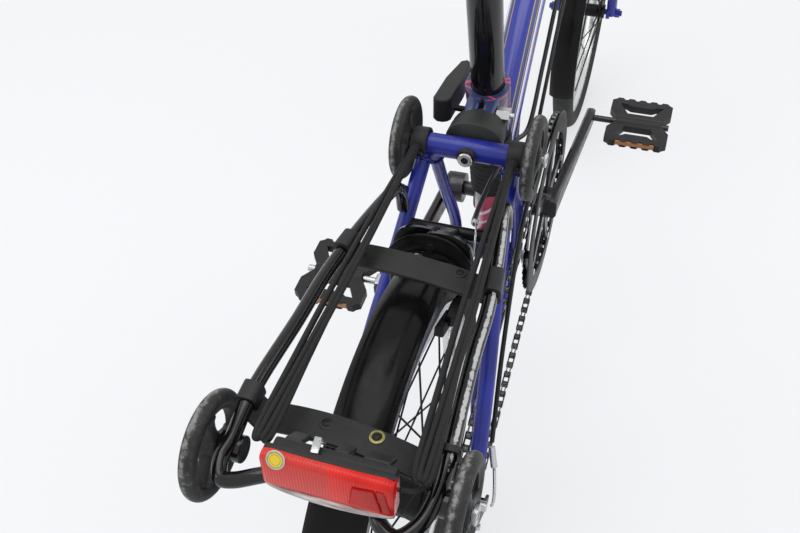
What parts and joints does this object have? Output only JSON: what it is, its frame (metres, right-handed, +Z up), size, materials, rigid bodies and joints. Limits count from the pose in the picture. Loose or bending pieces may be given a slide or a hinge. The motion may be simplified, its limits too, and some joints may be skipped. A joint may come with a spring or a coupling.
{
  "type": "folding bicycle",
  "caption": "Small-wheeled folding bicycle with an arched main tube, hinged rear frame, roller rack, folding handlepost and one folding pedal, standing unfolded.",
  "frame": {"origin": "point on the ground under the rear axle, in the wheels' plane", "axes": "+X forward, +Y to the rider's left, +Z up"},
  "size_m": [1.464, 0.5378, 1.0175],
  "materials": {
    "amber_reflector": "prismatic reflector",
    "black_anodised_alloy": "black anodised",
    "black_nylon": "moulded nylon",
    "bright_steel": "bright plated steel",
    "gloss_black_paint": "gloss paint",
    "navy_paint": "gloss paint",
    "polished_alloy": "polished",
    "red_lens": "red lens",
    "royal_blue_paint": "gloss paint",
    "rubber": "black rubber",
    "woven_black_cord": "woven elastic cord"
  },
  "bodies": {
    "main_frame": {"gear_cable": "black_nylon", "main_frame": "navy_paint", "rear_brake_cable": "black_nylon", "rear_hinge_spindle": "bright_steel", "seat_clamp_bolt": "bright_steel"},
    "seat_clamp_lever": {"seat_clamp_lever": "black_nylon"},
    "seatpost": {"saddle": "black_nylon", "saddle_clamp": "black_anodised_alloy", "seatpost": "gloss_black_paint"},
    "rear_frame": {"bungee_left": "woven_black_cord", "bungee_right": "woven_black_cord", "chain": "bright_steel", "indicator_chain": "bright_steel", "rack_front_plate": "black_nylon", "rack_rear_plate": "black_nylon", "rear_frame": "royal_blue_paint", "rear_light_housing": "black_nylon", "rear_light_lens": "red_lens", "rear_mudguard": "gloss_black_paint", "rear_rack": "gloss_black_paint", "suspension_block": "rubber", "suspension_bolt": "bright_steel"},
    "rear_brake_arm_left": {"rear_brake_arm_left": "black_anodised_alloy"},
    "rear_brake_arm_right": {"rear_brake_arm_right": "black_anodised_alloy"},
    "roller_front_left": {"roller_front_left": "rubber"},
    "roller_front_right": {"roller_front_right": "rubber"},
    "roller_rear_left": {"roller_rear_left": "rubber"},
    "roller_rear_right": {"roller_rear_right": "rubber"},
    "rear_wheel": {"rear_hub_and_spokes": "black_anodised_alloy", "rear_rim": "polished_alloy", "rear_tyre": "rubber"},
    "rear_sprocket": {"rear_sprocket": "bright_steel"},
    "chain_tensioner": {"chain_tensioner": "black_anodised_alloy"},
    "guide_pulley": {"guide_pulley": "black_nylon"},
    "tension_pulley": {"tension_pulley": "black_nylon"},
    "crankset": {"chainring": "black_anodised_alloy", "crank_left": "black_anodised_alloy", "crank_right": "black_anodised_alloy"},
    "pedal_right": {"pedal_right": "black_nylon", "pedal_right_reflector": "amber_reflector"},
    "pedal_left_bracket": {"pedal_left_bracket": "bright_steel"},
    "pedal_left": {"pedal_left": "black_nylon", "pedal_left_reflector": "amber_reflector"},
    "front_frame": {"front_frame": "navy_paint"},
    "main_hinge_clamp": {"main_hinge_clamp": "black_nylon"},
    "steering": {"fork": "royal_blue_paint", "front_brake_cable": "black_nylon", "front_mudguard": "gloss_black_paint"},
    "front_wheel": {"front_hub_and_spokes": "black_anodised_alloy", "front_rim": "polished_alloy", "front_tyre": "rubber"},
    "front_brake_arm_left": {"front_brake_arm_left": "black_anodised_alloy"},
    "front_brake_arm_right": {"front_brake_arm_right": "black_anodised_alloy"},
    "handlepost": {"grip_left": "rubber", "grip_right": "rubber", "handlebar": "gloss_black_paint", "handlepost": "gloss_black_paint"},
    "handlepost_clamp": {"handlepost_clamp": "black_nylon"},
    "brake_lever_left": {"brake_lever_left": "polished_alloy"},
    "brake_lever_right": {"brake_lever_right": "polished_alloy"}
  },
  "joints": [
    {"name": "seat_clamp_open", "type": "hinge", "parent": "main_frame", "child": "seat_clamp_lever", "pos_m": [0.24393, 0.0375, 0.47254], "axis": [-0.2924, 0, 0.9563], "range_deg": [0, 40]},
    {"name": "seatpost_height", "type": "slide", "parent": "main_frame", "child": "seatpost", "axis": [-0.2924, 0, 0.9563], "range_m": [-0.385, 0]},
    {"name": "rear_fold", "type": "hinge", "parent": "main_frame", "child": "rear_frame", "pos_m": [0.304, 0, 0.255], "axis": [0, -1, 0], "range_deg": [0, 180]},
    {"name": "rear_brake_left_arm", "type": "hinge", "parent": "rear_frame", "child": "rear_brake_arm_left", "pos_m": [0.08744, 0, 0.43729], "axis": [-0.9336, 0, 0.3584], "range_deg": [0, 1.7]},
    {"name": "rear_brake_right_arm", "type": "hinge", "parent": "rear_frame", "child": "rear_brake_arm_right", "pos_m": [0.08744, 0, 0.43729], "axis": [0.9336, 0, -0.3584], "range_deg": [0, 1.7]},
    {"name": "roller_front_left_spin", "type": "hinge", "parent": "rear_frame", "child": "roller_front_left", "pos_m": [0.2016, 0.0602, 0.4593], "axis": [0, 1, 0], "continuous": true},
    {"name": "roller_front_right_spin", "type": "hinge", "parent": "rear_frame", "child": "roller_front_right", "pos_m": [0.2016, -0.0602, 0.4593], "axis": [0, 1, 0], "continuous": true},
    {"name": "roller_rear_left_spin", "type": "hinge", "parent": "rear_frame", "child": "roller_rear_left", "pos_m": [-0.1516, 0.0853, 0.4311], "axis": [0, 1, 0], "continuous": true},
    {"name": "roller_rear_right_spin", "type": "hinge", "parent": "rear_frame", "child": "roller_rear_right", "pos_m": [-0.1516, -0.09, 0.4311], "axis": [0, 1, 0], "continuous": true},
    {"name": "rear_wheel_spin", "type": "hinge", "parent": "rear_frame", "child": "rear_wheel", "pos_m": [0, 0, 0.2095], "axis": [0, 1, 0], "continuous": true},
    {"name": "sprocket_spin", "type": "hinge", "parent": "rear_frame", "child": "rear_sprocket", "pos_m": [0, 0, 0.2095], "axis": [0, 1, 0], "continuous": true},
    {"name": "tensioner_swing", "type": "hinge", "parent": "rear_frame", "child": "chain_tensioner", "pos_m": [0.018, 0, 0.144], "axis": [0, 1, 0], "range_deg": [-10, 20], "stiffness_Nm_per_rad": 1.5},
    {"name": "guide_pulley_spin", "type": "hinge", "parent": "rear_frame", "child": "guide_pulley", "pos_m": [0.018, 0, 0.144], "axis": [0, 1, 0], "continuous": true},
    {"name": "tension_pulley_spin", "type": "hinge", "parent": "chain_tensioner", "child": "tension_pulley", "pos_m": [0.0702, 0, 0.11055], "axis": [0, 1, 0], "continuous": true},
    {"name": "crank_spin", "type": "hinge", "parent": "main_frame", "child": "crankset", "pos_m": [0.372, 0, 0.284], "axis": [0, 1, 0], "continuous": true, "deforming": ["chain"]},
    {"name": "pedal_right_spin", "type": "hinge", "parent": "crankset", "child": "pedal_right", "pos_m": [0.54107, -0.1375, 0.30177], "axis": [0, 1, 0], "continuous": true},
    {"name": "pedal_left_fold", "type": "hinge", "parent": "crankset", "child": "pedal_left_bracket", "pos_m": [0.20293, 0.0915, 0.26623], "axis": [0.9945, 0, 0.1045], "range_deg": [0, 90]},
    {"name": "pedal_left_spin", "type": "hinge", "parent": "pedal_left_bracket", "child": "pedal_left", "pos_m": [0.20293, 0.1405, 0.26623], "axis": [0, 1, 0], "continuous": true},
    {"name": "main_fold", "type": "hinge", "parent": "main_frame", "child": "front_frame", "pos_m": [0.78, 0.05, 0.5625], "axis": [0, 0, -1], "range_deg": [-176, 0], "deforming": ["rear_brake_cable", "gear_cable"]},
    {"name": "main_clamp_turn", "type": "hinge", "parent": "main_frame", "child": "main_hinge_clamp", "pos_m": [0.78, 0, 0.5625], "axis": [0, 1, 0], "range_deg": [0, 720]},
    {"name": "steering_turn", "type": "hinge", "parent": "front_frame", "child": "steering", "pos_m": [1.01363, 0, 0.2095], "axis": [-0.2924, 0, 0.9563], "range_deg": [-80, 80]},
    {"name": "front_wheel_spin", "type": "hinge", "parent": "steering", "child": "front_wheel", "pos_m": [1.045, 0, 0.2095], "axis": [0, 1, 0], "continuous": true},
    {"name": "front_brake_left_arm", "type": "hinge", "parent": "steering", "child": "front_brake_arm_left", "pos_m": [0.95636, 0, 0.4806], "axis": [-0.9505, 0, -0.3108], "range_deg": [0, 1.1]},
    {"name": "front_brake_right_arm", "type": "hinge", "parent": "steering", "child": "front_brake_arm_right", "pos_m": [0.95636, 0, 0.4806], "axis": [0.9505, 0, 0.3108], "range_deg": [0, 1.1]},
    {"name": "handlepost_fold", "type": "hinge", "parent": "steering", "child": "handlepost", "pos_m": [0.91178, -0.0297, 0.64422], "axis": [0.6762, 0.7071, 0.2067], "range_deg": [0, 165], "deforming": ["front_brake_cable"]},
    {"name": "handlepost_clamp_turn", "type": "hinge", "parent": "steering", "child": "handlepost_clamp", "pos_m": [0.88338, 0, 0.63553], "axis": [-0.6762, 0.7071, -0.2067], "range_deg": [0, 720]},
    {"name": "brake_lever_left_pull", "type": "hinge", "parent": "handlepost", "child": "brake_lever_left", "pos_m": [0.83312, 0.128, 1.00304], "axis": [0, 0, 1], "range_deg": [0, 12], "stiffness_Nm_per_rad": 0.6},
    {"name": "brake_lever_right_pull", "type": "hinge", "parent": "handlepost", "child": "brake_lever_right", "pos_m": [0.83312, -0.128, 1.00304], "axis": [0, 0, -1], "range_deg": [0, 12], "stiffness_Nm_per_rad": 0.6}
  ],
  "couplings": [
    {"joint": "sprocket_spin", "follows": "crank_spin", "ratio": 3.8462},
    {"joint": "guide_pulley_spin", "follows": "crank_spin", "ratio": -4.5455},
    {"joint": "tension_pulley_spin", "follows": "crank_spin", "ratio": 4.5455},
    {"joint": "rear_brake_left_arm", "follows": "brake_lever_left_pull", "ratio": 0.14167},
    {"joint": "rear_brake_right_arm", "follows": "brake_lever_left_pull", "ratio": 0.14167},
    {"joint": "front_brake_left_arm", "follows": "brake_lever_right_pull", "ratio": 0.091666},
    {"joint": "front_brake_right_arm", "follows": "brake_lever_right_pull", "ratio": 0.091666}
  ]
}
